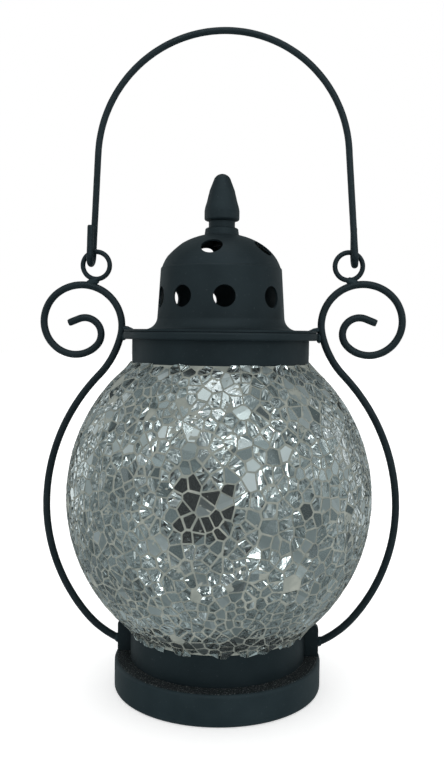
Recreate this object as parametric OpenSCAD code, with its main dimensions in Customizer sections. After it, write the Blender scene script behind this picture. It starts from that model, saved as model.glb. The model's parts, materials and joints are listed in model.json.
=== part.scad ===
// Candle lantern: a mosaic glass globe between two metal collars, with a pierced dome,
// scrolled side wires and a wire bail. It stands on z = 0, and the wires lie in the XZ plane.

/* [Base] */
// Outer diameter of the plinth drum
plinth_d = 95.6; // [94:0.2:100]
// Height of the plinth, which is also the level of its shelf
plinth_h = 14; // [12:0.5:15]
// Sheet thickness of the plinth
plinth_t = 1.2; // [0.8:0.1:1.6]
// Rounding of the plinth's top edge
plinth_edge = 1.8; // [1.4:0.1:2.4]
// Rounding of the plinth's bottom edge
plinth_foot = 1.3; // [1.3:0.1:2]
// Outer diameter of the drip tray that centres the lower collar
tray_d = 78.2; // [70:0.2:78.4]
// Height of the drip tray's rim
tray_h = 7.5; // [4:0.5:10]
// Outer diameter of the candle cup, below its lip
cup_d = 43; // [40:1:56]
// Height of the candle cup
cup_h = 14; // [10:1:16]

/* [Collars] */
// Outer diameter of both collars
collar_d = 81; // [80:0.5:82]
// Sheet thickness of both collars
collar_t = 1; // [0.8:0.1:1.5]
// Height of the lower collar
lower_collar_h = 14.5; // [14:0.5:15]
// Outer diameter of the ring flange on the upper collar
flange_d = 89; // [86:0.2:89]
// Thickness of the ring flange
flange_h = 3.6; // [3:0.1:4]

/* [Globe] */
// Widest diameter, over the mosaic
globe_d = 140; // [138:0.5:141]
// Radius of the arc that the globe's outline follows from neck to neck
globe_bend = 77.5; // [76:0.5:79]
// Thickness of the mosaic and its grout
mosaic_t = 1.6; // [1:0.1:2]
// Thickness of the clear glass behind the mosaic
glass_t = 2; // [1.5:0.1:3]

/* [Dome] */
// Outer diameter of the dome's brim
brim_d = 88.2; // [84:0.2:88.4]
// Sheet thickness of the dome
dome_t = 0.9; // [0.7:0.1:1.2]
// Diameter of the dome's wall where it leaves the brim's flare
wall_low_d = 58.2; // [56:0.2:62]
// Diameter of the dome's wall at its top edge
wall_top_d = 55.4; // [55:0.1:56]
// Height of the wall's top edge
wall_top_z = 193.2; // [192.6:0.1:193.4]
// Width of the oval that the cap's outline follows
cap_w = 55.4; // [55:0.1:56]
// Rise of the cap's oval above its widest level
cap_rise = 19.8; // [19:0.1:21]
// Diameter of every vent hole
vent_d = 9.6; // [6:0.2:10]
// Where the wall's vents are, in degrees round from the front; they are punched by hand
wall_vents = [-69, -33, 6.5, 54.9, 102, 150, 198, 240];
// How many vents the cap has
cap_vents = 5; // [3:1:6]

/* [Finial] */
// Diameter of the finial's base disc at its bottom
finial_d = 15.8; // [14:0.2:16.4]
// Height of the finial's base disc
finial_base_h = 3.3; // [3:0.1:4]
// Diameter of the spike's bulb
bulb_d = 16; // [13:0.2:16.4]

/* [Wires] */
// Diameter of the side wires
scroll_wire_d = 3.4; // [3:0.1:3.6]
// How far the hand-bent left wire sits above its nominal height
left_lift = -0.9; // [-1:0.1:0]
// How far the hand-bent right wire and its eyelet sit above their nominal height
right_lift = 0.2; // [0:0.1:0.2]
// Distance of the eyelets from the lantern's axis
eyelet_x = 57.9; // [57.6:0.1:58]
// Height of the eyelets' centres
eyelet_z = 194; // [193.9:0.1:194.4]
// Diameter of the eyelets' wire
eyelet_wire_d = 2.2; // [1.8:0.1:2.3]
// Diameter of the bail's wire
bail_wire_d = 3.1; // [2.6:0.1:3.2]
// Radius of the bail's arch
bail_r = 57.2; // [57:0.1:57.4]
// Height of the arch's top
bail_top = 299.6; // [299:0.1:300]

/* [Hidden] */

$fn = 96;
black = "#2c3134";
steel = "#9aa0a2";
arc_steps = 10;
slip = 0.1;
wire_sides = 12;
ring_gap = 3.5;
ring_turn = 12;
globe_steps = 36;
cap_steps = 16;

// Levels, from the shelf upwards
mosaic_half_h = 60.5;
shelf_z = plinth_h;
lower_collar_top = shelf_z + lower_collar_h;
globe_z = lower_collar_top + mosaic_half_h;
upper_collar_bottom = 2 * globe_z - lower_collar_top;
flange_z = 160.3;
brim_z = flange_z + flange_h;

// Globe: the outline's arc has its centre past the axis
arc_centre = globe_bend - globe_d / 2;
neck_lap = 1.5;

// The mosaic laps down over the lower collar
lap_z = lower_collar_top - 1.7;
lap_r = collar_d / 2 + 0.8;

// Stud and rivet through the thin sheets
stud_r = 2;
rivet_r = 2;
tray_t = 0.8;

// Dome outline
flare_r = 6;
shoulder_r = 1;
shoulder_lean = 60;
cap_z = 189;
cap_lean = 13;
seat_lean = acos((finial_d + 0.8) / cap_w);
seat_z = cap_z + cap_rise * sin(seat_lean);
wall_vent_z = 179.3;
cap_vent_lean = 45.5;
cap_vent_start = -8;
cap_vent_z = 179.6;

// Finial
spike_z = seat_z + finial_base_h;
neck_r = 6;
neck_h = 2.9;
nut_z = seat_z - dome_t;

// Ears: upright lugs that stand on the shelf
ear_in = 40.55;
ear_out = 46.9;
ear_t = 3.6;
ear_corner = 2;
ear_top = lower_collar_top;

// Side wire: where it leaves its ear, and each bend as [straight run, bend radius, turn, roll]
scroll_start = [46.9, 0, 20.1];
scroll_rise = 25;
scroll_steps = [
    [0.6, 44, 25, 0], [0, 80, 42, 0], [0, 88, 42, 0], [0, 40, -31, 0],
    [0, 18.7, -136, 0], [0, 16.8, -50, 0], [0, 15.4, -75, 0], [0, 13.8, -68, 0],
    [0, 7.6, -156, 0], [5.2, 1, 0, 0],
];

// Half of the bail, from the arch's top down to the tail of its hook, in the same form
bail_lean = 30;
hook_r = 3.5;
bail_steps = [
    [0, bail_r, -86.2, 0], [0, bail_lean, 4.6, 90], [45.5, hook_r, -188, 0],
    [0, 20, -3, 90], [12.6, 1, 0, 0],
];

eyelet_r = 6.25;

// A ring around Z: its section is a rectangle from r1 to r2 and from z1 to z2
module tube_ring(r1, r2, z1, z2) {
    rotate_extrude() translate([r1, z1]) square([r2 - r1, z2 - z1]);
}

// Points along an arc about [cx, cy] from angle a1 to angle a2
function arc(cx, cy, r, a1, a2, steps = arc_steps) = [
    for (i = [0 : steps]) let (a = a1 + (a2 - a1) * i / steps)
        [cx + r * cos(a), cy + r * sin(a)]
];

function backwards(list) = [for (i = [len(list) - 1 : -1 : 0]) list[i]];

// v turned by angle a about a unit axis
function turned(v, axis, a) =
    v * cos(a) + cross(axis, v) * sin(a) + axis * (axis * v) * (1 - cos(a));

// Rings along a wire, each [centre, heading, side, up]. A step runs straight, then bends towards
// the ring's side, or away from it if the turn is negative. Its roll swings side and up about
// the heading before the step.
function wire_rings(steps, at, i = 0, roll = 0) = i == len(steps) ? [at] : let (
    run = steps[i][0],
    bend = steps[i][1],
    turn = steps[i][2],
    plane = roll + steps[i][3],
    side = at[2] * cos(plane) + at[3] * sin(plane),
    axis = cross(at[1], side),
    start = at[0] + run * at[1],
    centre = start + sign(turn) * bend * side,
    count = ceil(max(abs(turn) / ring_turn, bend * abs(turn) * PI / 180 / ring_gap, 1)),
    bent = [for (j = [0 : count]) let (a = turn * j / count) [
        turn == 0 ? start : centre + turned(start - centre, axis, a),
        turned(at[1], axis, a), turned(at[2], axis, a), turned(at[3], axis, a),
    ]],
    last = turn == 0 ? 0 : count
) concat(
    run > 0 || i == 0 ? [at] : [],
    [for (j = [0 : last - 1]) if (j > 0 || run > 0) bent[j]],
    wire_rings(steps, bent[last], i + 1, plane)
);

// A round wire through its rings, closed by a flat cut at each end
module wire(rings, r) {
    points = [for (at = rings, k = [0 : wire_sides - 1]) let (a = 360 / wire_sides * k)
        at[0] + r * (at[2] * cos(a) + at[3] * sin(a))];
    last = (len(rings) - 1) * wire_sides;
    sides = [for (i = [0 : len(rings) - 2], k = [0 : wire_sides - 1])
        let (next = (k + 1) % wire_sides, near = i * wire_sides, far = near + wire_sides)
            each [[near + k, near + next, far + next], [near + k, far + next, far + k]]];
    start_cut = [[for (k = [wire_sides - 1 : -1 : 0]) k]];
    end_cut = [[for (k = [0 : wire_sides - 1]) last + k]];
    polyhedron(points, concat(start_cut, sides, end_cut));
}

// Turns a shape made in the XY plane up into the XZ plane
module upright() {
    rotate([90, 0, 0]) children();
}

// Outline of the plinth's sheet: inset 0 is its outside, and plinth_t its inside
function plinth_line(inset) = concat(
    [[plinth_d / 2 - 5, inset]],
    arc(plinth_d / 2 - plinth_foot, plinth_foot, plinth_foot - inset, -90, 0),
    arc(plinth_d / 2 - plinth_edge, shelf_z - plinth_edge, plinth_edge - inset, 0, 90),
    [[rivet_r + slip, shelf_z - inset]]
);

module plinth() {
    color(black)
        rotate_extrude() polygon(concat(plinth_line(0), backwards(plinth_line(plinth_t))));
}

module drip_tray() {
    color(black) {
        rim_r = tray_d / 2;
        rotate_extrude() polygon(concat(
            [[rivet_r + slip, shelf_z]],
            arc(rim_r - 2, shelf_z + 2, 2, -90, 0),
            [[rim_r, shelf_z + tray_h], [rim_r - tray_t, shelf_z + tray_h]],
            arc(rim_r - 2, shelf_z + 2, 2 - tray_t, 0, -90),
            [[rivet_r + slip, shelf_z + tray_t]]
        ));
    }
}

module candle_cup() {
    color(steel) {
        wall_r = cup_d / 2;
        floor_z = shelf_z + tray_t;
        lip_z = floor_z + cup_h;
        rotate_extrude() polygon(concat(
            [[rivet_r + slip, floor_z]],
            arc(wall_r - 1.5, floor_z + 1.5, 1.5, -90, 0),
            [[wall_r, lip_z - 1], [wall_r + 1, lip_z], [wall_r, lip_z],
             [wall_r - tray_t, lip_z - 1]],
            arc(wall_r - 1.5, floor_z + 1.5, 1.5 - tray_t, 0, -90),
            [[rivet_r + slip, floor_z + tray_t]]
        ));
    }
}

module cup_rivet() {
    color(steel) {
        under_z = shelf_z - plinth_t;
        seat = shelf_z + 2 * tray_t;
        translate([0, 0, under_z]) cylinder(h = seat - under_z, r = rivet_r);
        translate([0, 0, seat]) cylinder(h = 1.2, r1 = 4, r2 = 3);
        translate([0, 0, under_z - 1]) cylinder(h = 1, r = 3.4);
    }
}

module lower_collar() {
    color(black)
        tube_ring(collar_d / 2 - collar_t, collar_d / 2, shelf_z, lower_collar_top);
}

module upper_collar() {
    color(black)
        tube_ring(collar_d / 2 - collar_t, collar_d / 2, upper_collar_bottom, flange_z);
}

module ring_flange() {
    color(black)
        rotate_extrude() polygon(concat(
            [[collar_d / 2 - collar_t, flange_z]],
            arc(flange_d / 2 - 1, flange_z + 1, 1, -90, 0),
            arc(flange_d / 2 - 1.2, flange_z + flange_h - 1.2, 1.2, 0, 90),
            [[collar_d / 2 - collar_t, flange_z + flange_h]]
        ));
}

// A layer of the globe from one depth under its surface to another, half_h up and down, with
// a lap on its lower edge
module globe_layer(depth, thick, half_h, lap = []) {
    outer = globe_bend - depth;
    inner = outer - thick;
    outer_lean = asin(half_h / outer);
    inner_lean = asin(half_h / inner);
    rotate_extrude() polygon(concat(
        arc(-arc_centre, globe_z, outer, -outer_lean, outer_lean, globe_steps),
        arc(-arc_centre, globe_z, inner, inner_lean, -inner_lean, globe_steps),
        lap
    ));
}

module globe_glass() {
    color("lightcyan") globe_layer(mosaic_t + slip, glass_t, mosaic_half_h + neck_lap);
}

module mosaic_skin() {
    inner_r = collar_d / 2 + slip;
    lap = [[inner_r, lower_collar_top], [inner_r, lap_z], [lap_r, lap_z]];
    color("silver") globe_layer(0, mosaic_t, mosaic_half_h, lap);
}

// The cap's oval outline, inset from its outside
function cap_line(inset) = [
    for (i = [0 : cap_steps]) let (a = cap_lean + (seat_lean - cap_lean) * i / cap_steps)
        [(cap_w / 2 - inset) * cos(a), cap_z + (cap_rise - inset) * sin(a)]
];

// Outline of the dome's sheet from the brim's edge to the stud hole
function dome_line(inset) = concat(
    [[brim_d / 2, brim_z + dome_t - inset]],
    arc(wall_low_d / 2 + flare_r, brim_z + dome_t + flare_r, flare_r + inset, 270, 180),
    arc(wall_top_d / 2 - shoulder_r, wall_top_z - shoulder_r, shoulder_r - inset, 0, shoulder_lean),
    cap_line(inset),
    [[stud_r + slip, seat_z - inset]]
);

module dome_lid() {
    color(black) difference() {
        rotate_extrude() polygon(concat(dome_line(0), backwards(dome_line(dome_t))));
        for (a = wall_vents)
            rotate([0, 0, a]) translate([0, -15, wall_vent_z]) rotate([90, 0, 0])
                cylinder(h = 20, d = vent_d);
        for (i = [0 : cap_vents - 1])
            rotate([0, 0, cap_vent_start + 360 / cap_vents * i]) translate([0, 0, cap_vent_z])
                rotate([90 - cap_vent_lean, 0, 0]) translate([0, 0, 15])
                    cylinder(h = 20, d = vent_d);
    }
}

module finial_base() {
    color(black)
        rotate_extrude() polygon(concat(
            [[stud_r + slip, seat_z], [finial_d / 2, seat_z]],
            arc(finial_d / 2 - 1.3, spike_z - 1, 1, 0, 90),
            [[stud_r + slip, spike_z]]
        ));
}

// Turned spike: a neck, a bulb and a tapering tip on one stud
module finial_spike() {
    color(black) {
        rotate_extrude() polygon(concat(
            [[0, spike_z], [neck_r, spike_z], [neck_r, spike_z + neck_h]],
            arc(bulb_d / 2 - 1, spike_z + 4.3, 1, -90, 0),
            [[bulb_d / 2, spike_z + 7.7], [bulb_d / 2 - 0.2, spike_z + 8.9]],
            [[bulb_d / 2 - 0.5, spike_z + 10.1], [7, spike_z + 11.7], [5.7, spike_z + 17.1]],
            arc(0, spike_z + 20.3, 4.2, 30, 90)
        ));
        translate([0, 0, nut_z - 5]) cylinder(h = spike_z - nut_z + 5.5, r = stud_r);
    }
}

module finial_washer() {
    color(steel) tube_ring(stud_r + slip, 5, nut_z - 0.8, nut_z);
}

module finial_nut() {
    color(steel) difference() {
        translate([0, 0, nut_z - 4]) cylinder(h = 3.2, r = 4, $fn = 6);
        translate([0, 0, nut_z - 5]) cylinder(h = 5, r = stud_r + slip);
    }
}

// Right-hand ear, notched round the mosaic's lap; the left one is its mirror image
module ear() {
    notch_r = lap_r + slip;
    notch_z = lap_z - slip;
    color(black) upright() translate([0, 0, -ear_t / 2]) linear_extrude(ear_t) polygon(concat(
        [[ear_in, shelf_z], [ear_out, shelf_z]],
        arc(ear_out - ear_corner, ear_top - ear_corner, ear_corner, 0, 90),
        [[notch_r, ear_top], [notch_r, notch_z], [ear_in, notch_z]]
    ));
}

module scroll(lift) {
    heading = [cos(scroll_rise), 0, sin(scroll_rise)];
    side = [-sin(scroll_rise), 0, cos(scroll_rise)];
    start = scroll_start + [0, 0, lift];
    color(black)
        wire(wire_rings(scroll_steps, [start, heading, side, [0, -1, 0]]), scroll_wire_d / 2);
}

module eyelet(lift) {
    color(black) translate([eyelet_x, 0, eyelet_z + lift]) upright()
        rotate_extrude() translate([eyelet_r, 0]) circle(d = eyelet_wire_d);
}

// A bead that fills the gap under an eyelet
module eyelet_weld(lift, r) {
    color(black) translate([eyelet_x + 1.9, 0, eyelet_z - 7.1 + lift]) sphere(r = r);
}

// One tapering bead on the brim and one round bead under the flange
module rim_weld() {
    color(black) {
        translate([45.4, 0, brim_z + dome_t]) rotate([0, -90, 0])
            cylinder(h = 6.5, r1 = 1.5, r2 = 0.4);
        translate([45.2, 0, flange_z]) sphere(r = 1.4);
    }
}

module ear_weld(lift) {
    color(black) translate([ear_out, 0, scroll_start[2] + lift]) sphere(r = 2.3);
}

// A ring turned half round the Z axis, and facing back along the wire
function other_half(at) = [
    [-at[0][0], -at[0][1], at[0][2]], [at[1][0], at[1][1], -at[1][2]],
    [-at[2][0], -at[2][1], at[2][2]], [at[3][0], at[3][1], -at[3][2]],
];

// The bail's two halves are each other turned half round, so one tail lies in front of its
// leg and the other behind
module bail() {
    half = wire_rings(bail_steps, [[0, 0, bail_top], [1, 0, 0], [0, 0, 1], [0, -1, 0]]);
    other = [for (i = [len(half) - 1 : -1 : 1]) other_half(half[i])];
    color(black) wire(concat(other, half), bail_wire_d / 2);
}

module left() {
    mirror([1, 0, 0]) children();
}

plinth();
drip_tray();
candle_cup();
cup_rivet();
lower_collar();
globe_glass();
mosaic_skin();
upper_collar();
ring_flange();
dome_lid();
finial_base();
finial_spike();
finial_washer();
finial_nut();
left() ear();  // left_ear
ear();  // right_ear
left() scroll(left_lift);  // left_scroll
scroll(right_lift);  // right_scroll
left() eyelet(0);  // left_eyelet
eyelet(right_lift);  // right_eyelet
left() eyelet_weld(left_lift / 2, 2.6);  // left_eyelet_weld
eyelet_weld(right_lift, 2.4);  // right_eyelet_weld
union() { rim_weld(); left() rim_weld(); }  // rim_welds
union() { ear_weld(right_lift); left() ear_weld(left_lift); }  // ear_welds
bail();
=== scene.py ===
"""Looks for the mosaic glass candle lantern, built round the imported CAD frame.

Lengths are in metres and angles in radians unless a name or comment says millimetres or degrees.
Places are in the CAD's frame: +Z up along the axis, -Y to the front.
"""

import json
import math
import random

import bmesh
import bpy
from mathutils import Matrix, Vector, noise


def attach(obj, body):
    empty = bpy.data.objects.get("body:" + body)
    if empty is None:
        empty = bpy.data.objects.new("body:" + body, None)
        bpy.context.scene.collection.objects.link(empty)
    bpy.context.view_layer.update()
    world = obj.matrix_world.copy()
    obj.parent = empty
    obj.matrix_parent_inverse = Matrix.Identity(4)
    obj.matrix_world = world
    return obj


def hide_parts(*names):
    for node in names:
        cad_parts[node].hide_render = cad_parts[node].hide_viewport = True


MM = 0.001
SEED = 41

# Globe outline: an arc whose centre is past the axis, as in the CAD
GLOBE_Z = 89.0 * MM
GLOBE_R = 70.0 * MM
GLOBE_BEND = 77.5 * MM
GLOBE_HALF_H = 60.5 * MM
ARC_CENTRE = GLOBE_BEND - GLOBE_R
NECK_LEAN = math.asin(GLOBE_HALF_H / GLOBE_BEND)

# The mosaic laps over both collars, and further over the lower one, with a ragged edge
LAP_R = 41.2 * MM
LAP_DOWN = 1.6 * MM
LAP_UP = 0.6 * MM
RAGGED_SHARE = 0.5
RAGGED_SCALE = 22

# Shards: their usual distance, and how it drifts over the globe and varies from one to the next
SHARD_GAP = 6.1 * MM
GAP_DRIFT = 0.45
GAP_DRIFT_SCALE = 3.2
GAP_RANGE = (0.46, 0.84)

# Seeds of the shards: tries and seeds at most, their highest latitude, and how far past a neck one counts
SEED_TRIES = 30000
SEED_LIMIT = 2300
SEED_LATITUDE = math.radians(66)
SEED_DOWN = 1.1 * LAP_DOWN
SEED_UP = 0.8 * LAP_UP

# How a shard sits: grout to its edge, clearance under the outline, root below, lean and lift
GROUT_HALF = 0.25 * MM
GROUT_SPREAD = 0.7
SHARD_CLEAR = 0.1 * MM
SHARD_ROOT = 0.9 * MM
SHARD_LEAN = 0.022
LIFT_RANGE = (-0.18 * MM, 0.08 * MM)

# Which shards are lost or chipped, a chip's depth and way, and the smallest areas and side kept
MISSING_SHARE = 0.012
CHIPPED_SHARE = 0.35
CHIP_RANGE = (0.72, 0.92)
CHIP_TURN = 6.28
SHARD_AREA = 2e-6
FACET_AREA = 2e-9
SHORTEST_SIDE = 1e-7

# Cracks: how piece sizes spread, how many cross the grain, where they cut and how the grain drifts
PIECE_RANGE = (0.7, 1.9)
CROSS_SHARE = 0.22
CRACK_REACH = 0.45
GRAIN_DRIFT = 0.12

# Kinds of crackle: (share of shards up to this one, piece area, looseness of the grain, tilt, gloss)
CRACKLES = [
    (0.22, 20e-6, 0.5, 0.03, (0.1, 0.95)),
    (0.66, 2.0e-6, 0.2, 0.14, (0.7,)),
    (1.00, 1.3e-6, 1.2, 0.12, (0.6,)),
]

# Tone of the shards, how their facets vary in tone and gloss, and the look of their side walls
TONE_MEAN, TONE_SPREAD = 0.45, 0.14
FACET_TONE_SPREAD = 0.13
FACET_GLOSS_SPREAD = 0.28
EDGE_TONE, EDGE_POLISH = 0.2, 0.4

# Material index of a shard's facets and of its side walls
FACET, EDGE = 0, 1

# Around this direction over half of the shards are whole and mirror the dark card
PLAIN_PATCH = Vector((-0.02, -0.996, 0.085))
PLAIN_REACH = math.cos(math.radians(11))
PLAIN_SHARE = 0.55
PLAIN_TONE = 0.35

# Grout shell: depth of its face and inner edge, unevenness as (scale, share), and share of a lap it covers
GROUT_DEPTH = 0.34 * MM
GROUT_INNER = 1.5 * MM
GROUT_UNEVEN = 0.12 * MM
GROUT_WAVES = ((38, 1.0), (90, 0.5))
GROUT_LAP = 0.3
GROUT_ROWS, GROUT_TURNS = 150, 420

# Wires, in millimetres: each step is (straight run, bend radius, turn, roll), angles in degrees
SCROLL_START = (46.9, 0.0, 20.1)
SCROLL_RISE = 25
SCROLL_STEPS = [
    (0.6, 44, 25, 0), (0, 80, 42, 0), (0, 88, 42, 0), (0, 40, -31, 0),
    (0, 18.7, -136, 0), (0, 16.8, -50, 0), (0, 15.4, -75, 0), (0, 13.8, -68, 0),
    (0, 7.6, -156, 0), (5.2, 1, 0, 0),
]
BAIL_TOP = 299.6
BAIL_STEPS = [
    (0, 57.2, -86.2, 0), (0, 30, 4.6, 90), (45.5, 3.5, -188, 0), (0, 20, -3, 90), (12.6, 1, 0, 0),
]

# Bent by hand, so the side wires and eyelets aren't level with each other; in millimetres
SCROLL_LIFT = {"right": 0.2, "left": -0.9}
EYELET_LIFT = {"right": 0.2, "left": 0.0}

# Wire radii, the eyelets' centre and ring radius, and the spacing of points, in millimetres
SCROLL_WIRE_R = 1.7
SCROLL_SPACING = 0.8
BAIL_WIRE_R = 1.55
BAIL_SPACING = 0.7
EYELET = (57.9, 0.0, 194.0)
EYELET_R = 6.25
EYELET_WIRE_R = 1.15
EYELET_POINTS = 64

# A wire's sides, and its radius: mean share, unevenness and its scale, and the share at a cut end
WIRE_SIDES = 18
WIRE_MEAN = 0.985
WIRE_UNEVEN = 0.02
WIRE_UNEVEN_SCALE = 0.35
WIRE_END = 0.86

# Weld beads of the right side, in millimetres and degrees: (name, (x, z), half sizes, lean, CAD node)
WELDS = [
    ("eyelet_fillet", (59.7, 186.8), (3.5, 1.5, 1.9), 22, "{side}_eyelet_weld"),
    ("ear_bead", (47.3, 20.3), (1.7, 1.9, 2.3), 25, "ear_welds"),
    ("brim_bead", (43.6, 165.0), (3.8, 1.5, 1.2), -13, "rim_welds"),
    ("flange_bead", (45.1, 161.8), (1.5, 1.4, 2.4), 0, "rim_welds"),
]

# Lumps and ripples on a bead: share of its size, and scale
LUMP_DEPTH, LUMP_SCALE = 0.16, 1.7
RIPPLE_DEPTH, RIPPLE_SCALE = 0.03, 14

# Small lamps that the shards mirror: (azimuth, elevation, width, radiance), degrees from the front
GLINTS = [
    (-74, 24, 0.09, 9), (-50, 42, 0.09, 11), (-30, 20, 0.08, 11), (-14, 46, 0.10, 14),
    (10, 30, 0.10, 15), (22, 56, 0.10, 13), (38, 24, 0.10, 15), (58, 40, 0.10, 13), (80, 20, 0.09, 9),
    (22, 8, 0.07, 9), (-40, 0, 0.07, 9), (50, -8, 0.07, 9), (-18, -18, 0.08, 9), (24, -32, 0.09, 9),
    (-48, -34, 0.09, 8), (62, -38, 0.09, 8), (0, -50, 0.09, 8),
]
GLINT_DISTANCE = 1.0
GLINT_ASPECT = 1.2
GLINT_TINT = (0.98, 1.0, 1.0)

# Large soft lamps for the black metal: (name, azimuth, elevation, distance, size), all of one radiance
SOFT_LAMPS = [
    ("left_strip", -118, 8, 0.9, (0.2, 0.9)), ("right_strip", 118, 8, 0.9, (0.2, 0.9)),
    ("overhead", 0, 84, 1.1, (0.7, 0.7)),
]
SOFT_RADIANCE = 0.9

# Floor, and the dark card that stands in for the camera's own reflection
FLOOR_R = 6.0
FLOOR_DROP = 0.03 * MM
FLOOR_GLOW = 0.4
CARD_AT = (-0.045, -0.41, 0.08)
CARD_SIZE = (0.29, 0.26)

# Camera: place, level direction, and lens and sensor height in millimetres; angles in degrees
CAMERA_AT = (0.0243, -0.3842, 0.163)
CAMERA_AHEAD = (-0.061, 0.998)
CAMERA_PITCH = 3.15
CAMERA_ROLL = 0.62
LENS = 26.4
SENSOR_HEIGHT = 24.0

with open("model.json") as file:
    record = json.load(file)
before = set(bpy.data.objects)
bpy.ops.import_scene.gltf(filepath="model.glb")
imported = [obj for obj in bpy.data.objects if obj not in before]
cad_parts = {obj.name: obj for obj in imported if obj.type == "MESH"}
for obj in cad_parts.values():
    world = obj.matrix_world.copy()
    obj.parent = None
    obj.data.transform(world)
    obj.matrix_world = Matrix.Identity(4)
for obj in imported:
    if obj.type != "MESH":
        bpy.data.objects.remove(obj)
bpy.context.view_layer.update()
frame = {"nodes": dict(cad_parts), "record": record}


# ---------------------------------------------------------------- node helpers

def new_material(name):
    """An empty node material and its Principled shader."""
    material = bpy.data.materials.new(name)
    material.use_nodes = True
    return material, material.node_tree, material.node_tree.nodes["Principled BSDF"]


def add_node(tree, kind, settings=None, **inputs):
    """A node with attributes from settings and input values by socket name."""
    node = tree.nodes.new(kind)
    for key, value in (settings or {}).items():
        setattr(node, key, value)
    for key, value in inputs.items():
        node.inputs[key.replace("_", " ")].default_value = value
    return node


def object_noise(tree, scale, detail=3.0, roughness=0.6):
    """Noise over the piece's own coordinates, which at rest are the CAD frame's."""
    place = add_node(tree, "ShaderNodeTexCoord")
    wave = add_node(tree, "ShaderNodeTexNoise", Scale=scale, Detail=detail, Roughness=roughness)
    tree.links.new(place.outputs["Object"], wave.inputs["Vector"])
    return wave.outputs["Fac"]


def ramp(tree, source, stops):
    """A colour ramp over source; stops are (place, colour)."""
    node = add_node(tree, "ShaderNodeValToRGB")
    elements = node.color_ramp.elements
    while len(elements) < len(stops):
        elements.new(0.5)
    for element, (place, colour) in zip(elements, stops):
        element.position = place
        element.color = (*colour, 1.0)
    tree.links.new(source, node.inputs["Fac"])
    return node.outputs["Color"]


def remap(tree, source, low, high, out_low, out_high):
    """source, taken from low..high to out_low..out_high."""
    node = add_node(tree, "ShaderNodeMapRange")
    for key, value in zip(("From Min", "From Max", "To Min", "To Max"), (low, high, out_low, out_high)):
        node.inputs[key].default_value = value
    tree.links.new(source, node.inputs["Value"])
    return node.outputs["Result"]


def bump(tree, shader, source, strength, distance, under=None):
    """Adds bump from source; under is the normal output of an earlier bump, if there is one."""
    node = add_node(tree, "ShaderNodeBump", Strength=strength, Distance=distance)
    tree.links.new(source, node.inputs["Height"])
    if under is not None:
        tree.links.new(under, node.inputs["Normal"])
    tree.links.new(node.outputs["Normal"], shader.inputs["Normal"])
    return node.outputs["Normal"]


# ---------------------------------------------------------------- materials

def black_coat(name, tone=1.0, grain=2200, grain_depth=0.05 * MM, rough=(0.46, 0.6)):
    """Satin black powder coat: fine orange peel, cloudy sheen and a few lighter rubbed specks."""
    material, tree, shader = new_material(name)
    cloud = object_noise(tree, 55, 4)
    speck = object_noise(tree, 900, 2)
    base = ramp(tree, cloud, [
        (0.3, (0.0036 * tone, 0.0085 * tone, 0.0108 * tone)),
        (0.7, (0.0078 * tone, 0.0148 * tone, 0.0178 * tone)),
    ])
    rubbed = ramp(tree, speck, [(0.66, (0, 0, 0)), (0.78, (0.02, 0.022, 0.022))])
    add = add_node(tree, "ShaderNodeMixRGB", {"blend_type": "ADD"}, Fac=1.0)
    tree.links.new(base, add.inputs["Color1"])
    tree.links.new(rubbed, add.inputs["Color2"])
    tree.links.new(add.outputs["Color"], shader.inputs["Base Color"])
    tree.links.new(remap(tree, cloud, 0.3, 0.7, *rough), shader.inputs["Roughness"])
    shader.inputs["Specular IOR Level"].default_value = 0.36
    shader.inputs["Specular Tint"].default_value = (0.7, 0.9, 1.0, 1)
    peel = bump(tree, shader, object_noise(tree, grain, 2), 0.35, grain_depth)
    bump(tree, shader, object_noise(tree, 130, 3), 0.25, 0.25 * MM, peel)
    return material


def black_base():
    """The plinth's coat: a little lighter than the rest, and rough with pale specks on its shelf."""
    material = black_coat("black_base", 1.5)
    tree = material.node_tree
    shader = tree.nodes["Principled BSDF"]
    normal = add_node(tree, "ShaderNodeNewGeometry")
    split = add_node(tree, "ShaderNodeSeparateXYZ")
    tree.links.new(normal.outputs["Normal"], split.inputs["Vector"])
    shelf = remap(tree, split.outputs["Z"], 0.86, 0.97, 0.0, 1.0)
    grit = object_noise(tree, 1500, 3, 0.7)
    specks = ramp(tree, grit, [(0.48, (0.002, 0.003, 0.0035)), (0.56, (0.012, 0.015, 0.016)),
                               (0.64, (0.22, 0.24, 0.24))])
    old = shader.inputs["Base Color"].links[0].from_socket
    mix = add_node(tree, "ShaderNodeMixRGB")
    tree.links.new(shelf, mix.inputs["Fac"])
    tree.links.new(old, mix.inputs["Color1"])
    tree.links.new(specks, mix.inputs["Color2"])
    tree.links.new(mix.outputs["Color"], shader.inputs["Base Color"])
    return material


def zinc():
    """Dull plated steel of the cup, rivet, washer and nut."""
    material, tree, shader = new_material("zinc")
    shader.inputs["Metallic"].default_value = 1.0
    cloud = object_noise(tree, 160, 4)
    tree.links.new(ramp(tree, cloud, [(0.3, (0.36, 0.36, 0.37)), (0.7, (0.58, 0.58, 0.57))]),
                   shader.inputs["Base Color"])
    tree.links.new(remap(tree, cloud, 0.3, 0.7, 0.3, 0.5), shader.inputs["Roughness"])
    bump(tree, shader, object_noise(tree, 1200, 2), 0.2, 0.05 * MM)
    return material


def inner_glass():
    """Clear glass that carries the mosaic; seen only from inside and below."""
    material, tree, shader = new_material("inner_glass")
    shader.inputs["Roughness"].default_value = 0.12
    shader.inputs["Transmission Weight"].default_value = 0.6
    tint = ramp(tree, object_noise(tree, 90, 3), [(0.3, (0.42, 0.47, 0.45)), (0.7, (0.62, 0.67, 0.65))])
    tree.links.new(tint, shader.inputs["Base Color"])
    bump(tree, shader, object_noise(tree, 60, 2), 0.2, 0.3 * MM)
    return material


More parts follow.
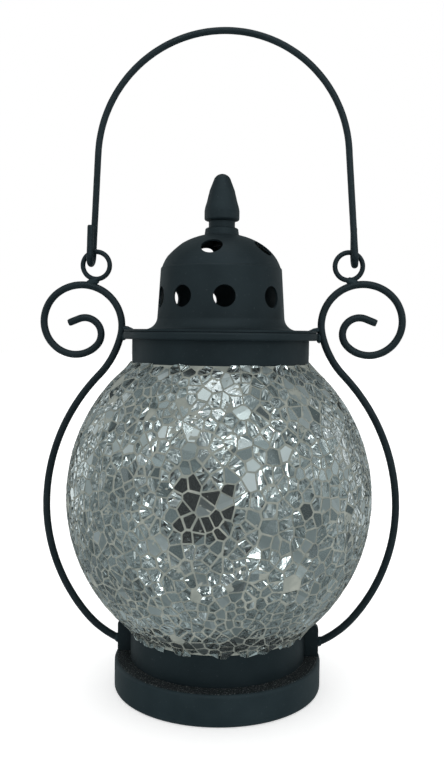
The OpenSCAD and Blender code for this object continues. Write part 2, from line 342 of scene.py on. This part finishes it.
def grout_material():
    """Sandy grey-beige grout, chalky and a little stained."""
    material, tree, shader = new_material("grout")
    cloud = object_noise(tree, 120, 4)
    tree.links.new(ramp(tree, cloud, [(0.3, (0.185, 0.21, 0.19)), (0.55, (0.255, 0.28, 0.25)),
                                      (0.75, (0.33, 0.35, 0.31))]), shader.inputs["Base Color"])
    shader.inputs["Roughness"].default_value = 0.85
    bump(tree, shader, object_noise(tree, 2600, 3), 0.5, 0.08 * MM)
    return material


def shard_material():
    """Silvered crackle glass: each facet has its own tone and polish."""
    material, tree, shader = new_material("silver_shards")
    tone = add_node(tree, "ShaderNodeAttribute", {"attribute_name": "tone"}).outputs["Fac"]
    polish = add_node(tree, "ShaderNodeAttribute", {"attribute_name": "polish"}).outputs["Fac"]
    tree.links.new(ramp(tree, tone, [(0.0, (0.30, 0.35, 0.35)), (0.5, (0.47, 0.53, 0.53)),
                                     (1.0, (0.80, 0.86, 0.87))]), shader.inputs["Base Color"])
    shader.inputs["Metallic"].default_value = 0.93
    tree.links.new(remap(tree, polish, 0.0, 1.0, 0.46, 0.05), shader.inputs["Roughness"])
    shader.inputs["Coat Weight"].default_value = 0.35
    shader.inputs["Coat Roughness"].default_value = 0.08
    bump(tree, shader, object_noise(tree, 420, 2), 0.25, 0.12 * MM)
    return material


def shard_edge_material():
    """The broken edges of the shards, smeared with grout."""
    material, tree, shader = new_material("shard_edges")
    tree.links.new(ramp(tree, object_noise(tree, 600, 2), [(0.35, (0.20, 0.225, 0.205)),
                                                           (0.65, (0.36, 0.38, 0.34))]),
                   shader.inputs["Base Color"])
    shader.inputs["Roughness"].default_value = 0.6
    return material


METAL = black_coat("black_metal")
WIRE = black_coat("black_wire", 1.0, 3000, 0.04 * MM, (0.42, 0.56))
WELD = black_coat("weld", 1.7, 1400, 0.12 * MM, (0.5, 0.64))
BASE = black_base()
ZINC = zinc()
GLASS = inner_glass()
GROUT = grout_material()
SHARDS = shard_material()
SHARD_EDGES = shard_edge_material()
FINISHES = {
    "black_metal": METAL, "black_base": BASE, "black_wire": WIRE, "weld": WELD,
    "zinc": ZINC, "glass": GLASS, "mosaic": SHARDS,
}


def dress_cad_nodes():
    """Gives every CAD node the procedural material of its slot."""
    slots = {s["node"]: s["material_slot"] for s in frame["record"]["subparts"]}
    for name, node in frame["nodes"].items():
        node.data.materials.clear()
        node.data.materials.append(FINISHES[slots[name]])


# ---------------------------------------------------------------- mesh helpers

def add_mesh(name, points, faces, materials, body, stands_for, smooth_angle=None):
    """A new piece that rides on body, takes the given materials and stands for CAD nodes, which it hides."""
    mesh = bpy.data.meshes.new(name)
    mesh.from_pydata(points, [], faces)
    for material in materials:
        mesh.materials.append(material)
    if smooth_angle is not None:
        mesh.shade_smooth()
        mesh.set_sharp_from_angle(angle=math.radians(smooth_angle))
    piece = bpy.data.objects.new(name, mesh)
    bpy.context.scene.collection.objects.link(piece)
    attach(piece, body)
    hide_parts(*stands_for)
    return piece


def clamp(value, low=0.0, high=1.0):
    """value, kept between low and high."""
    return min(high, max(low, value))


def band(near, far, count):
    """Quads between two closed rings of count points that start at index near and far."""
    return [(near + k, near + (k + 1) % count, far + (k + 1) % count, far + k) for k in range(count)]


def mirrored(points):
    """The points reflected from the right side to the left."""
    return [Vector((-p.x, p.y, p.z)) for p in points]


def raised(points, by):
    """The points moved up."""
    return [p + Vector((0, 0, by)) for p in points]


def wire_path(start, heading, side, steps, spacing):
    """Points in millimetres along a wire, with the same steps as the CAD's."""
    at = Vector(start)
    heading, side = Vector(heading), Vector(side)
    points = [at.copy()]
    for run, bend, turn, roll in steps:
        side = Matrix.Rotation(math.radians(roll), 3, heading) @ side
        for i in range(1, int(run / spacing) + 1):
            points.append(at + heading * (run * i / int(run / spacing)))
        at = at + heading * run
        if turn:
            axis = heading.cross(side)
            centre = at + side * (bend if turn > 0 else -bend)
            count = max(4, int(bend * abs(math.radians(turn)) / spacing))
            for i in range(1, count + 1):
                spin = Matrix.Rotation(math.radians(turn) * i / count, 3, axis)
                points.append(centre + spin @ (at - centre))
            spin = Matrix.Rotation(math.radians(turn), 3, axis)
            at, heading, side = points[-1].copy(), spin @ heading, spin @ side
    return points


def sweep(points, radius, seed, closed=False):
    """(points, faces) in metres of a hand-drawn wire round a path in millimetres."""
    count, sides = len(points), WIRE_SIDES
    tangents = []
    for i in range(count):
        ahead = points[(i + 1) % count] if closed else points[min(i + 1, count - 1)]
        behind = points[(i - 1) % count] if closed else points[max(i - 1, 0)]
        tangents.append((ahead - behind).normalized())
    up = Vector((0, 1, 0))
    out, faces = [], []
    for i, (point, tangent) in enumerate(zip(points, tangents)):
        up = (up - tangent * up.dot(tangent)).normalized()
        across = tangent.cross(up)
        taper = WIRE_END if not closed and i in (0, count - 1) else 1.0
        for k in range(sides):
            a = 2 * math.pi * k / sides
            outward = across * math.cos(a) + up * math.sin(a)
            spot = (point + outward * radius) * WIRE_UNEVEN_SCALE + Vector((seed, 0, 0))
            dent = WIRE_MEAN + WIRE_UNEVEN * noise.noise(spot)
            out.append((point + outward * radius * dent * taper) * MM)
    for i in range(count if closed else count - 1):
        faces += band(i * sides, (i + 1) % count * sides, sides)
    if not closed:
        faces.append(tuple(reversed(range(sides))))
        faces.append(tuple((count - 1) * sides + k for k in range(sides)))
    return out, faces


def weld_bead(name, centre, size, lean, stands_for, seed):
    """A lumpy weld bead in millimetres: an ellipsoid leaned in the XZ plane and roughened."""
    sphere = bmesh.new()
    bmesh.ops.create_icosphere(sphere, subdivisions=4, radius=1.0)
    turn = Matrix.Rotation(math.radians(lean), 3, "Y")
    points = []
    for vertex in sphere.verts:
        lump = 1 + LUMP_DEPTH * noise.noise(vertex.co * LUMP_SCALE + Vector((seed, 0, 0)))
        ripple = 1 + RIPPLE_DEPTH * math.sin(vertex.co.x * RIPPLE_SCALE + seed)
        shaped = Vector(c * s for c, s in zip(vertex.co * lump * ripple, size))
        points.append((Vector(centre) + turn @ shaped) * MM)
    faces = [[v.index for v in face.verts] for face in sphere.faces]
    sphere.free()
    add_mesh(name, points, faces, [WELD], "cage", stands_for, 80)


# ---------------------------------------------------------------- wires and welds

def build_wires():
    """The side wires, the eyelets and the bail, as rounder wire in the place of the CAD's."""
    rise = math.radians(SCROLL_RISE)
    scroll = wire_path(SCROLL_START, (math.cos(rise), 0, math.sin(rise)),
                       (-math.sin(rise), 0, math.cos(rise)), SCROLL_STEPS, SCROLL_SPACING)
    for side, path, seed in (("right", scroll, 3.0), ("left", mirrored(scroll), 9.0)):
        points, faces = sweep(raised(path, SCROLL_LIFT[side]), SCROLL_WIRE_R, seed)
        add_mesh(f"{side}_scroll_wire", points, faces, [WIRE], "cage",
                 [f"{side}_scroll"], 50)
    ring = [Vector((EYELET[0] + EYELET_R * math.cos(a), 0, EYELET[2] + EYELET_R * math.sin(a)))
            for a in (2 * math.pi * i / EYELET_POINTS for i in range(EYELET_POINTS))]
    for side, path in (("right", ring), ("left", mirrored(ring))):
        points, faces = sweep(raised(path, EYELET_LIFT[side]), EYELET_WIRE_R, 5.0, closed=True)
        add_mesh(f"{side}_eyelet_ring", points, faces, [WIRE], "cage",
                 [f"{side}_eyelet"], 50)
    half = wire_path((0, 0, BAIL_TOP), (1, 0, 0), (0, 0, 1), BAIL_STEPS, BAIL_SPACING)
    other = [Vector((-p.x, -p.y, p.z)) for p in half]
    points, faces = sweep(list(reversed(other[1:])) + half, BAIL_WIRE_R, 7.0)
    add_mesh("bail_wire", points, faces, [WIRE], "bail", ["bail"], 50)


def weld_lift(name, side):
    """How far a bead is raised with what it joins: an eyelet fillet lies between ring and wire."""
    lifts = {"eyelet_fillet": (SCROLL_LIFT[side] + EYELET_LIFT[side]) / 2, "ear_bead": SCROLL_LIFT[side]}
    return lifts.get(name, 0.0)


def build_welds():
    """The beads of both sides, each leaned and roughened in its own way."""
    for side, sign in (("right", 1), ("left", -1)):
        for row, (name, (x, z), size, lean, node) in enumerate(WELDS, start=1):
            weld_bead(f"{side}_{name}", (sign * x, 0, z + weld_lift(name, side)), size, sign * lean,
                      [node.format(side=side)], 2.0 * row * sign)


# ---------------------------------------------------------------- mosaic globe

def on_globe(direction, depth=0.0):
    """The point at depth under the outline where its normal is direction, or in a lap past a neck."""
    flat = math.hypot(direction.x, direction.y)
    height = (GLOBE_BEND - depth) * direction.z
    reach = (GLOBE_BEND - depth) * flat - ARC_CENTRE
    past = (abs(math.asin(direction.z)) - NECK_LEAN) * GLOBE_BEND
    if past > 0:
        ragged = 1 + RAGGED_SHARE * noise.noise(direction * RAGGED_SCALE)
        lap = min(past, ragged * (LAP_UP if direction.z > 0 else LAP_DOWN))
        height = math.copysign(GLOBE_HALF_H + lap, direction.z)
        reach = LAP_R - depth
    return Vector((direction.x / flat * reach, direction.y / flat * reach, GLOBE_Z + height))


def past_neck(direction):
    """Whether the outline has ended before its normal is direction."""
    return abs(math.asin(direction.z)) > NECK_LEAN


def shard_seeds(rng):
    """Unit normals, unevenly spread, over the globe and a little past both necks."""
    limit = math.sin(SEED_LATITUDE)
    seeds = []
    for _ in range(SEED_TRIES):
        height, turn = rng.uniform(-limit, limit), rng.uniform(0, 2 * math.pi)
        flat = math.sqrt(1 - height * height)
        seed = Vector((flat * math.cos(turn), flat * math.sin(turn), height))
        patch = (1 + GAP_DRIFT * noise.noise(seed * GAP_DRIFT_SCALE)) * rng.uniform(*GAP_RANGE)
        apart = SHARD_GAP / GLOBE_BEND * patch
        if all((seed - other).length_squared > apart * apart for other in seeds):
            seeds.append(seed)
        if len(seeds) > SEED_LIMIT:
            break
    return seeds


def cells_of(seeds):
    """(seed, corner directions) of each Voronoi cell on the globe and its laps."""
    hull = bmesh.new()
    for seed in seeds:
        hull.verts.new(seed)
    bmesh.ops.convex_hull(hull, input=hull.verts)
    bmesh.ops.triangulate(hull, faces=hull.faces)
    hull.normal_update()
    lowest = -math.sin(NECK_LEAN + SEED_DOWN / GLOBE_BEND)
    highest = math.sin(NECK_LEAN + SEED_UP / GLOBE_BEND)
    cells = []
    for vertex in hull.verts:
        if not lowest < vertex.co.z < highest:
            continue
        seed = vertex.co.copy()
        across = seed.orthogonal().normalized()
        up = seed.cross(across)
        corners = [face.normal.copy() for face in vertex.link_faces]
        corners.sort(key=lambda c: math.atan2(c.dot(up), c.dot(across)))
        cells.append((seed, corners))
    hull.free()
    return cells


def cut(polygon, point, normal):
    """The part of a convex polygon behind the line through point; normal points to what goes."""
    kept = []
    for a, b in zip(polygon, polygon[1:] + polygon[:1]):
        side_a, side_b = (a - point).dot(normal), (b - point).dot(normal)
        if side_a <= 0:
            kept.append(a)
        if side_a * side_b < 0:
            kept.append(a.lerp(b, side_a / (side_a - side_b)))
    return kept


def inset(polygon, by):
    """A convex polygon with every side moved in."""
    result = polygon
    for a, b in zip(polygon, polygon[1:] + polygon[:1]):
        along = b - a
        if along.length < SHORTEST_SIDE or len(result) < 3:
            continue
        outward = Vector((along.y, -along.x)).normalized()
        result = cut(result, a - outward * by, outward)
    return result


def area_of(polygon):
    """The area of a polygon whose corners run anticlockwise."""
    return 0.5 * sum(a.x * b.y - a.y * b.x for a, b in zip(polygon, polygon[1:] + polygon[:1]))


def centre_of(polygon):
    """The mean of a polygon's corners."""
    return sum(polygon, Vector((0, 0))) / len(polygon)


def shatter(polygon, piece_area, grain, loose, rng):
    """Splits a convex polygon along lines near its grain until the pieces are small."""
    if len(polygon) < 3 or area_of(polygon) < piece_area * rng.uniform(*PIECE_RANGE):
        return [polygon] if len(polygon) > 2 and area_of(polygon) > FACET_AREA else []
    turn = grain + rng.gauss(0, loose)
    if rng.random() < CROSS_SHARE:
        turn += math.pi / 2
    normal = Vector((math.cos(turn), math.sin(turn)))
    centre = centre_of(polygon)
    corner_spread = max(abs((p - centre).dot(normal)) for p in polygon)
    point = centre + normal * corner_spread * rng.uniform(-CRACK_REACH, CRACK_REACH)
    pieces = []
    for half in (cut(polygon, point, normal), cut(polygon, point, -normal)):
        pieces += shatter(half, piece_area, grain + rng.gauss(0, GRAIN_DRIFT), loose, rng)
    return pieces


def facets_of(outline, plain, rng):
    """[(facet, tilt, tone, polish)] of one shard, whole or crackled in its own way."""
    if plain and rng.random() < PLAIN_SHARE:
        return [(outline, Vector((0, 0)), PLAIN_TONE, 1.0)]
    kind = rng.random()
    grain = rng.uniform(0, math.pi)
    shard_tone = rng.gauss(TONE_MEAN, TONE_SPREAD)
    _, piece_area, loose, tilt, glosses = next(crackle for crackle in CRACKLES if kind < crackle[0])
    pieces = shatter(outline, piece_area, grain, loose, rng)
    gloss = rng.choice(glosses) if len(glosses) > 1 else glosses[0]
    made = []
    for piece in pieces:
        slope = Vector((rng.gauss(0, tilt), rng.gauss(0, tilt)))
        tone = clamp(shard_tone + rng.gauss(0, FACET_TONE_SPREAD))
        made.append((piece, slope, tone, clamp(rng.gauss(gloss, FACET_GLOSS_SPREAD))))
    return made


def outline_of(cell, rng):
    """A shard's outline within its flat cell, or nothing where it is lost or too small."""
    gap = GROUT_HALF * (1 + abs(rng.gauss(0, GROUT_SPREAD)))
    if rng.random() < MISSING_SHARE:
        return []
    outline = inset(cell, gap)
    if rng.random() < CHIPPED_SHARE and len(outline) > 3:
        across, up = math.cos(rng.uniform(0, CHIP_TURN)), math.sin(rng.uniform(0, CHIP_TURN))
        chop = Vector((across, up)).normalized()
        far = max(p.dot(chop) for p in outline)
        outline = cut(outline, chop * far * rng.uniform(*CHIP_RANGE), chop)
    return outline if len(outline) > 2 and area_of(outline) >= SHARD_AREA else []


class Bed:
    """Where one shard lies: flat on the globe, or bent round a neck where its cell passes one."""

    def __init__(self, seed, corners):
        """The plane's origin and axes, and whether the cell passes a neck."""
        self.seed = seed
        self.origin = on_globe(seed)
        self.across = seed.orthogonal().normalized()
        self.up = seed.cross(self.across)
        self.wraps = past_neck(seed) or any(past_neck(c) for c in corners)

    def flatten(self, corners):
        """The corner directions as points in the shard's own plane."""
        if self.wraps:
            return [Vector((c.dot(self.across), c.dot(self.up))) * GLOBE_BEND for c in corners]
        offsets = [on_globe(c) - self.origin for c in corners]
        return [Vector((offset.dot(self.across), offset.dot(self.up))) for offset in offsets]

    def settle(self, outline, rng):
        """Leans the shard, and sinks it until its corners are inside the globe."""
        self.middle = centre_of(outline)
        self.lean = Vector((rng.gauss(0, SHARD_LEAN), rng.gauss(0, SHARD_LEAN)))
        reach = max(p.length for p in outline)
        self.sink = SHARD_CLEAR + reach * reach / (2 * GLOBE_R)

    def place(self, p, slope=None, about=None, extra=0.0):
        """Point p of the plane in space; slope tilts its facet about a point, extra is depth."""
        lift = (p - self.middle).dot(self.lean)
        if slope is not None:
            lift += (p - about).dot(slope)
        lift = clamp(lift, *LIFT_RANGE)
        if self.wraps:
            direction = (self.seed + (self.across * p.x + self.up * p.y) / GLOBE_BEND).normalized()
            return on_globe(direction, SHARD_CLEAR - lift + extra)
        return self.origin + self.across * p.x + self.up * p.y + self.seed * (lift - self.sink - extra)


def build_shards(cells, rng):
    """Every shard as flat crackled facets with side walls down into the grout."""
    points, faces, tones, polishes, kinds = [], [], [], [], []

    def put(corners, tone, polish, kind):
        """Adds one face with corners of its own."""
        faces.append(tuple(range(len(points), len(points) + len(corners))))
        points.extend(corners)
        tones.append(tone)
        polishes.append(polish)
        kinds.append(kind)

    for seed, corners in cells:
        bed = Bed(seed, corners)
        outline = outline_of(bed.flatten(corners), rng)
        if not outline:
            continue
        bed.settle(outline, rng)
        for piece, slope, tone, polish in facets_of(outline, seed.dot(PLAIN_PATCH) > PLAIN_REACH, rng):
            about = centre_of(piece)
            put([bed.place(p, slope, about) for p in piece], tone, polish, FACET)
        for a, b in zip(outline, outline[1:] + outline[:1]):
            roots = [bed.place(a, extra=SHARD_ROOT), bed.place(b, extra=SHARD_ROOT)]
            put([*roots, bed.place(b), bed.place(a)], EDGE_TONE, EDGE_POLISH, EDGE)

    piece = add_mesh("mosaic_shards", points, faces, [SHARDS, SHARD_EDGES], "cage",
                     ["mosaic_skin"])
    mesh = piece.data
    mesh.polygons.foreach_set("material_index", kinds)
    for name, values in (("tone", tones), ("polish", polishes)):
        mesh.attributes.new(name, "FLOAT", "FACE").data.foreach_set("value", values)


def direction_at(tilt, turn):
    """The unit direction that rises by tilt from the horizon and is turned about the axis."""
    return Vector((math.cos(tilt) * math.cos(turn), math.cos(tilt) * math.sin(turn), math.sin(tilt)))


def build_grout():
    """The grout shell that the shards are set in, slightly uneven, closed round its edges."""
    lowest = -NECK_LEAN - GROUT_LAP * LAP_DOWN / GLOBE_BEND
    highest = NECK_LEAN + GROUT_LAP * LAP_UP / GLOBE_BEND
    turns = [2 * math.pi * k / GROUT_TURNS for k in range(GROUT_TURNS)]
    points, faces = [], []
    for i in range(GROUT_ROWS + 1):
        tilt = lowest + (highest - lowest) * i / GROUT_ROWS
        for direction in (direction_at(tilt, turn) for turn in turns):
            wave = sum(share * noise.noise(direction * scale) for scale, share in GROUT_WAVES)
            points.append(on_globe(direction, GROUT_DEPTH + wave * GROUT_UNEVEN))
    for tilt in (lowest, highest):
        points += [on_globe(direction_at(tilt, turn), GROUT_INNER) for turn in turns]
    starts = [row * GROUT_TURNS for row in range(GROUT_ROWS + 3)]
    for near, far in zip(starts[:GROUT_ROWS], starts[1:]):
        faces += band(near, far, GROUT_TURNS)
    last, inner_low, inner_high = starts[-3:]
    faces += band(inner_low, 0, GROUT_TURNS) + band(last, inner_high, GROUT_TURNS)
    add_mesh("mosaic_grout", points, faces, [GROUT], "cage", ["mosaic_skin"], 40)


def build_mosaic():
    """The shards and the grout, from one seeded run of random numbers."""
    rng = random.Random(SEED)
    build_shards(cells_of(shard_seeds(rng)), rng)
    build_grout()


# ---------------------------------------------------------------- stage, light and camera

def softbox(name, azimuth, elevation, distance, size, radiance, tint=(1, 1, 1)):
    """A rectangular lamp that faces the globe; azimuth and elevation in degrees, 0 is the front."""
    a, e = math.radians(azimuth), math.radians(elevation)
    back = Vector((math.sin(a) * math.cos(e), -math.cos(a) * math.cos(e), math.sin(e)))
    lamp = bpy.data.lights.new(name, "AREA")
    lamp.shape = "RECTANGLE"
    lamp.size, lamp.size_y = size
    lamp.energy = radiance * math.pi * size[0] * size[1]
    lamp.color = tint
    holder = bpy.data.objects.new(name, lamp)
    holder.location = Vector((0, 0, GLOBE_Z)) + back * distance
    holder.rotation_euler = back.to_track_quat("Z", "Y").to_euler()
    holder.visible_camera = False
    holder.visible_diffuse = False
    bpy.context.scene.collection.objects.link(holder)


def build_lights():
    """Lamps that only reflections show; the white world gives all the diffuse light."""
    for i, (azimuth, elevation, width, radiance) in enumerate(GLINTS):
        size = (width, width * GLINT_ASPECT)
        softbox(f"glint_{i}", azimuth, elevation, GLINT_DISTANCE, size, radiance, GLINT_TINT)
    for lamp in SOFT_LAMPS:
        softbox(*lamp, SOFT_RADIANCE)


def build_world():
    """A white world, but a patchy grey room in its reflections."""
    world = bpy.data.worlds.new("studio")
    bpy.context.scene.world = world
    world.use_nodes = True
    tree = world.node_tree
    tree.nodes.clear()
    direction = add_node(tree, "ShaderNodeTexCoord")
    patches = add_node(tree, "ShaderNodeTexNoise", Scale=3.4, Detail=3.0, Roughness=0.55)
    tree.links.new(direction.outputs["Generated"], patches.inputs["Vector"])
    room = add_node(tree, "ShaderNodeBackground", Strength=1.0)
    tree.links.new(ramp(tree, patches.outputs["Fac"], [
        (0.36, (0.060, 0.075, 0.078)), (0.46, (0.165, 0.20, 0.205)), (0.56, (0.26, 0.305, 0.31)),
        (0.66, (0.58, 0.65, 0.66)),
    ]), room.inputs["Color"])
    paper = add_node(tree, "ShaderNodeBackground", Color=(1, 1, 1, 1.0), Strength=1.0)
    path = add_node(tree, "ShaderNodeLightPath")
    mix = add_node(tree, "ShaderNodeMixShader")
    out = add_node(tree, "ShaderNodeOutputWorld")
    tree.links.new(path.outputs["Is Glossy Ray"], mix.inputs[0])
    tree.links.new(paper.outputs[0], mix.inputs[1])
    tree.links.new(room.outputs[0], mix.inputs[2])
    tree.links.new(mix.outputs[0], out.inputs[0])


def build_floor():
    """Pale floor, with a faint glow that thins the shadow on it."""
    material, tree, shader = new_material("pale_floor")
    tree.links.new(ramp(tree, object_noise(tree, 3, 2), [(0.3, (0.9, 0.9, 0.9)), (0.7, (0.93, 0.93, 0.93))]),
                   shader.inputs["Base Color"])
    shader.inputs["Roughness"].default_value = 0.9
    shader.inputs["Emission Color"].default_value = (1, 1, 1, 1)
    shader.inputs["Emission Strength"].default_value = FLOOR_GLOW
    bpy.ops.mesh.primitive_circle_add(vertices=96, radius=FLOOR_R, fill_type="NGON",
                                      location=(0, 0, -FLOOR_DROP))
    floor = bpy.context.object
    floor.name = "floor"
    floor.data.materials.append(material)
    floor.visible_glossy = False


def build_dark_card():
    """A card by the camera that only the lantern's reflections show."""
    material, _, shader = new_material("dark_card")
    shader.inputs["Base Color"].default_value = (0.004, 0.004, 0.005, 1)
    shader.inputs["Roughness"].default_value = 0.9
    bpy.ops.mesh.primitive_plane_add(size=1, location=CARD_AT, rotation=(math.pi / 2, 0, 0))
    card = bpy.context.object
    card.name = "dark_card"
    card.scale = (*CARD_SIZE, 1)
    card.data.materials.append(material)
    for ray in ("visible_camera", "visible_diffuse", "visible_shadow"):
        setattr(card, ray, False)


def build_camera():
    """The photograph's view: 385 mm from the axis, a little above the globe's top, pitched down."""
    data = bpy.data.cameras.new("camera")
    data.sensor_fit = "VERTICAL"
    data.sensor_height = SENSOR_HEIGHT
    data.lens = LENS
    data.clip_start = 0.02
    camera = bpy.data.objects.new("camera", data)
    ahead = Vector((*CAMERA_AHEAD, -math.tan(math.radians(CAMERA_PITCH)))).normalized()
    turn = ahead.to_track_quat("-Z", "Y").to_matrix() @ Matrix.Rotation(math.radians(CAMERA_ROLL), 3, "Z")
    camera.matrix_world = Matrix.Translation(CAMERA_AT) @ turn.to_4x4()
    bpy.context.scene.collection.objects.link(camera)
    bpy.context.scene.camera = camera


dress_cad_nodes()
build_wires()
build_welds()
build_mosaic()
build_world()
build_lights()
build_floor()
build_dark_card()
build_camera()
bpy.context.scene.view_settings.view_transform = "Standard"
